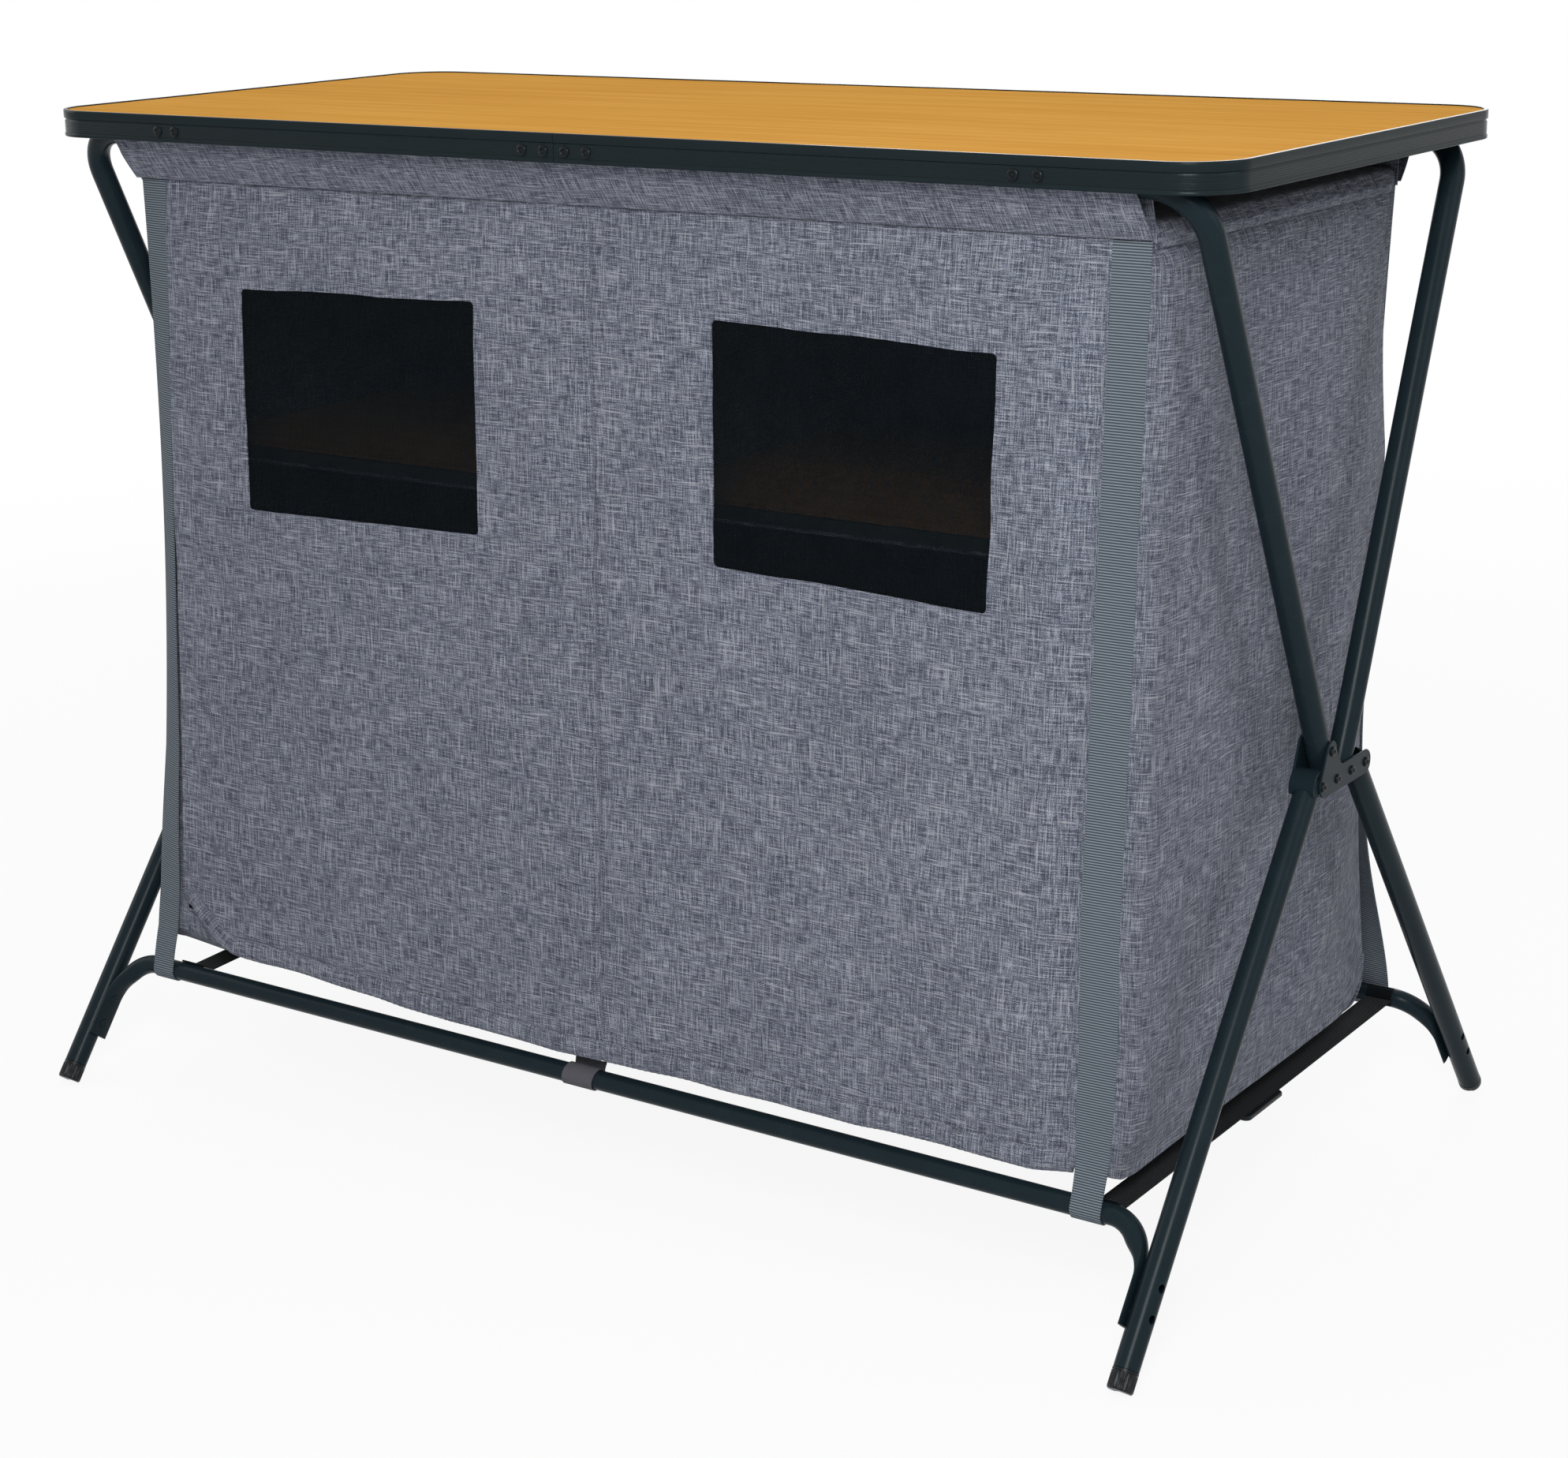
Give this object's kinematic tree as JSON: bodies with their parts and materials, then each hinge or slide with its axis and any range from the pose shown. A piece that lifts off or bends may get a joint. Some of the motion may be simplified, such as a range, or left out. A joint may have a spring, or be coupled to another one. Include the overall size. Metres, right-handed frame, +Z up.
{
  "type": "camping cupboard",
  "caption": "Folding camping cupboard: a wood worktop on crossed tube frames with a hanging cloth cabinet, inner shelves and a front flap with net windows.",
  "frame": {"origin": "on the ground under the middle of the worktop", "axes": "+X along the worktop to the right as seen from the front, -Y to the front with the door flap, +Z up"},
  "size_m": [1.2, 0.7276, 0.931],
  "materials": {
    "painted_tube": "satin powder coat",
    "edge_alloy": "dark anodised, brushed along its length",
    "rivet_steel": "blackened",
    "black_plastic": "moulded, matte",
    "worktop_wood": "satin lacquered bamboo colour with a fine straight grain",
    "shelf_wood": "satin laminate with a fine straight grain",
    "melange_cloth": "plain woven melange polyester",
    "dark_netting": "fine net",
    "grey_webbing": "ribbed webbing",
    "black_webbing": "flat webbing"
  },
  "bodies": {
    "root": {"front_upper_frame": "painted_tube", "hub_left_outer_plate": "painted_tube", "hub_left_inner_plate": "painted_tube", "hub_left_front_leg_pin": "rivet_steel", "hub_left_front_upper_pin": "rivet_steel", "hub_left_rear_upper_pin": "rivet_steel", "hub_left_rear_leg_pin": "rivet_steel", "hub_left_lock_pin": "rivet_steel", "hub_right_outer_plate": "painted_tube", "hub_right_inner_plate": "painted_tube", "hub_right_front_leg_pin": "rivet_steel", "hub_right_front_upper_pin": "rivet_steel", "hub_right_rear_upper_pin": "rivet_steel", "hub_right_rear_leg_pin": "rivet_steel", "hub_right_lock_pin": "rivet_steel", "cloth_side_left": "melange_cloth", "cloth_side_right": "melange_cloth", "cloth_back": "melange_cloth", "cloth_roof": "melange_cloth", "cloth_floor": "melange_cloth", "cloth_partition": "melange_cloth", "cloth_shelf_left": "melange_cloth", "cloth_shelf_right": "melange_cloth", "shelf_board_left": "shelf_wood", "shelf_board_right": "shelf_wood", "shelf_edge_left": "edge_alloy", "shelf_edge_right": "edge_alloy", "collar_front": "melange_cloth", "collar_rear": "melange_cloth", "corner_strap_front_left": "grey_webbing", "corner_strap_front_right": "grey_webbing", "corner_strap_rear_left": "grey_webbing", "corner_strap_rear_right": "grey_webbing", "rail_loop_front": "grey_webbing", "rail_loop_rear": "grey_webbing"},
    "table": {"table_board": "worktop_wood", "edge_profile": "edge_alloy", "edge_profile_splice": "rivet_steel", "bracket_front_left": "rivet_steel", "bracket_front_right": "rivet_steel", "bracket_rear_left": "rivet_steel", "bracket_rear_right": "rivet_steel"},
    "rear_upper": {"rear_upper_frame": "painted_tube"},
    "front_lower": {"front_leg_left": "painted_tube", "front_leg_right": "painted_tube", "front_rail": "painted_tube"},
    "foot_left": {"levelling_foot_left": "black_plastic"},
    "foot_right": {"levelling_foot_right": "black_plastic"},
    "rear_lower": {"rear_leg_left": "painted_tube", "rear_leg_right": "painted_tube", "rear_rail": "painted_tube", "foot_cap_left": "black_plastic", "foot_cap_right": "black_plastic", "spreader_strap_left": "black_webbing", "spreader_strap_right": "black_webbing", "strap_buckle_left": "black_plastic", "strap_buckle_right": "black_plastic"},
    "door": {"door_flap": "melange_cloth", "mesh_window_left": "dark_netting", "mesh_window_right": "dark_netting"}
  },
  "joints": [
    {"name": "table_lift", "type": "hinge", "parent": "root", "child": "table", "pos_m": [0, -0.243, 0.911], "axis": [1, 0, 0], "range_deg": [0, 60], "deforming": ["collar_front"]},
    {"name": "rear_upper_fold", "type": "hinge", "parent": "root", "child": "rear_upper", "pos_m": [0, 0.01414, 0.4096], "axis": [1, 0, 0], "range_deg": [0, 49.5], "deforming": ["collar_rear"]},
    {"name": "front_leg_fold", "type": "hinge", "parent": "root", "child": "front_lower", "pos_m": [0, -0.04242, 0.4096], "axis": [1, 0, 0], "range_deg": [0, 62.3], "deforming": ["corner_strap_front_left", "corner_strap_front_right", "rail_loop_front", "spreader_strap_left", "spreader_strap_right", "strap_buckle_left", "strap_buckle_right"]},
    {"name": "rear_leg_fold", "type": "hinge", "parent": "root", "child": "rear_lower", "pos_m": [0, 0.04242, 0.4096], "axis": [1, 0, 0], "range_deg": [-13.5, 0], "deforming": ["corner_strap_rear_left", "corner_strap_rear_right", "rail_loop_rear"]},
    {"name": "door_flap_swing", "type": "hinge", "parent": "root", "child": "door", "pos_m": [0, -0.2242, 0.868], "axis": [-1, 0, 0], "range_deg": [0, 90]},
    {"name": "left_foot_screw", "type": "slide", "parent": "front_lower", "child": "foot_left", "axis": [0, -0.6118, -0.791], "range_m": [0, 0.015]},
    {"name": "right_foot_screw", "type": "slide", "parent": "front_lower", "child": "foot_right", "axis": [0, -0.6118, -0.791], "range_m": [0, 0.015]}
  ],
  "couplings": [
    {"joint": "rear_upper_fold", "follows": "table_lift", "ratio": 0.82},
    {"joint": "rear_leg_fold", "follows": "front_leg_fold", "ratio": -0.21}
  ]
}
